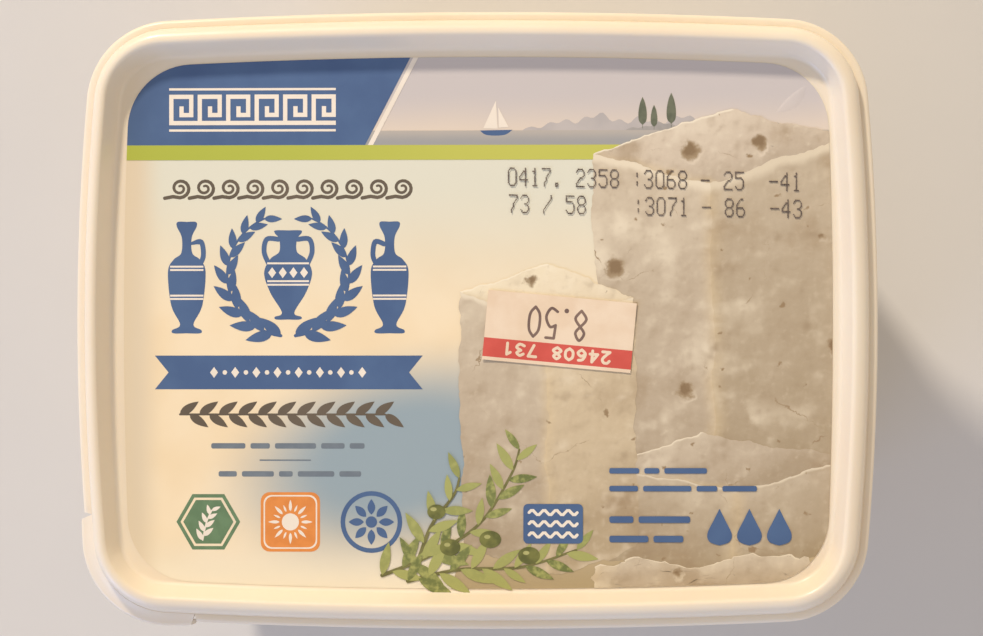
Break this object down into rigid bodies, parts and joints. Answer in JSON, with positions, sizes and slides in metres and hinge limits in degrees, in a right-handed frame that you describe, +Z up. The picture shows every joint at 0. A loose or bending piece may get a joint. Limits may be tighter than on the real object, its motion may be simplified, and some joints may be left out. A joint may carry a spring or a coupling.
{
  "type": "cheese tub",
  "caption": "Shut rectangular plastic cheese tub with a recessed press-on lid, a corner lift tab, a printed label film and a price sticker.",
  "frame": {"origin": "under the middle of the tub, on the surface that its foot ring stands on", "axes": "+X along the long side, +Y towards the back of the lid, +Z up through the lid"},
  "size_m": [0.14, 0.1078, 0.062],
  "materials": {
    "tub_plastic": "cream injection moulded polypropylene, satin",
    "lid_plastic": "cream injection moulded polypropylene, satin",
    "label_film": "printed polypropylene film, satin",
    "sticker_paper": "uncoated label paper with a red band"
  },
  "bodies": {
    "root": {"tub": "tub_plastic", "lid": "lid_plastic", "label": "label_film", "price_sticker": "sticker_paper"}
  },
  "joints": []
}
